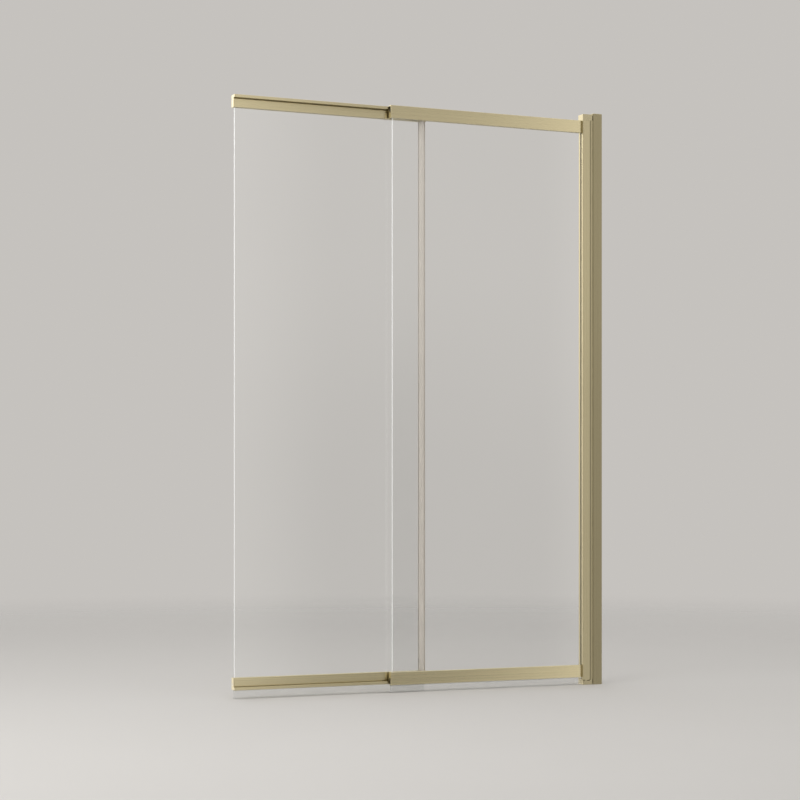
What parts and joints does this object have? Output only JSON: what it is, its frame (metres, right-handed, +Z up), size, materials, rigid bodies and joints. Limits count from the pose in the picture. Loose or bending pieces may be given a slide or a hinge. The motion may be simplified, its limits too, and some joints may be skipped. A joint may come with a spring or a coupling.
{
  "type": "sliding bath screen",
  "caption": "Bath screen with a fixed pane on a wall channel and a second clear pane that slides behind it in pale brass rails.",
  "frame": {"origin": "on the wall plane at bath-rim level, on the wall channel's centre line", "axes": "+X into the wall, so the screen reaches toward -X; +Y into the bath; +Z up from the rim"},
  "size_m": [0.941, 0.0405, 1.4],
  "materials": {
    "brushed_brass": "brushed, anodised pale brass",
    "brass_trim": "satin, pale brass coat",
    "bare_aluminium": "milled",
    "clear_glass": "clear, polished edges",
    "clear_pvc": "clear, soft",
    "seal_pvc": "translucent, soft",
    "gasket_rubber": "matt",
    "black_rubber": "matt",
    "black_plastic": "matt",
    "nylon": "satin",
    "steel": "satin"
  },
  "bodies": {
    "wall_side": {"wall_channel": "brushed_brass", "wall_channel_cap": "brass_trim", "stile": "brushed_brass", "stile_cap": "brass_trim", "stile_foot": "brass_trim", "adjustment_screws": "steel", "screw_caps": "brass_trim", "fixed_glass": "clear_glass", "stile_gasket": "gasket_rubber", "fixed_top_rail": "brushed_brass", "fixed_bottom_rail": "brushed_brass", "fixed_top_gasket": "gasket_rubber", "fixed_bottom_gasket": "gasket_rubber", "fixed_top_end_cap": "brass_trim", "fixed_bottom_end_cap": "brass_trim", "top_rail_connector": "bare_aluminium", "bottom_rail_connector": "bare_aluminium", "connector_bolts": "steel", "rail_grub_screws": "steel", "stop_buffers": "black_rubber", "slide_stops": "black_plastic", "fixed_bottom_seal": "clear_pvc"},
    "sliding_panel": {"slide_glass": "clear_glass", "slide_top_rail": "brushed_brass", "slide_bottom_rail": "brushed_brass", "slide_top_gasket": "gasket_rubber", "slide_bottom_gasket": "gasket_rubber", "leading_top_cap": "brass_trim", "leading_bottom_cap": "brass_trim", "trailing_top_cap": "brass_trim", "trailing_bottom_cap": "brass_trim", "cap_screws": "steel", "overlap_seal": "seal_pvc", "slide_bottom_seal": "clear_pvc", "top_lead_carriage": "black_plastic", "top_trail_carriage": "black_plastic", "bottom_lead_carriage": "black_plastic", "bottom_trail_carriage": "black_plastic", "carriage_screws": "steel", "wheel_axles": "steel"},
    "top_lead_wheel": {"top_lead_wheel": "nylon"},
    "top_trail_wheel": {"top_trail_wheel": "nylon"},
    "bottom_lead_wheel": {"bottom_lead_wheel": "nylon"},
    "bottom_trail_wheel": {"bottom_trail_wheel": "nylon"}
  },
  "joints": [
    {"name": "panel_slide", "type": "slide", "parent": "wall_side", "child": "sliding_panel", "axis": [1, 0, 0], "range_m": [0, 0.375]},
    {"name": "top_lead_wheel_spin", "type": "hinge", "parent": "sliding_panel", "child": "top_lead_wheel", "pos_m": [-0.536, -0.00125, 1.3718], "axis": [0, 1, 0], "continuous": true},
    {"name": "top_trail_wheel_spin", "type": "hinge", "parent": "sliding_panel", "child": "top_trail_wheel", "pos_m": [-0.48, -0.00125, 1.3718], "axis": [0, 1, 0], "continuous": true},
    {"name": "bottom_lead_wheel_spin", "type": "hinge", "parent": "sliding_panel", "child": "bottom_lead_wheel", "pos_m": [-0.536, -0.00125, 0.0282], "axis": [0, 1, 0], "continuous": true},
    {"name": "bottom_trail_wheel_spin", "type": "hinge", "parent": "sliding_panel", "child": "bottom_trail_wheel", "pos_m": [-0.48, -0.00125, 0.0282], "axis": [0, 1, 0], "continuous": true}
  ],
  "couplings": [
    {"joint": "top_lead_wheel_spin", "follows": "panel_slide", "rad_per_m": 166.67},
    {"joint": "top_trail_wheel_spin", "follows": "panel_slide", "rad_per_m": 166.67},
    {"joint": "bottom_lead_wheel_spin", "follows": "panel_slide", "rad_per_m": -166.67},
    {"joint": "bottom_trail_wheel_spin", "follows": "panel_slide", "rad_per_m": -166.67}
  ]
}
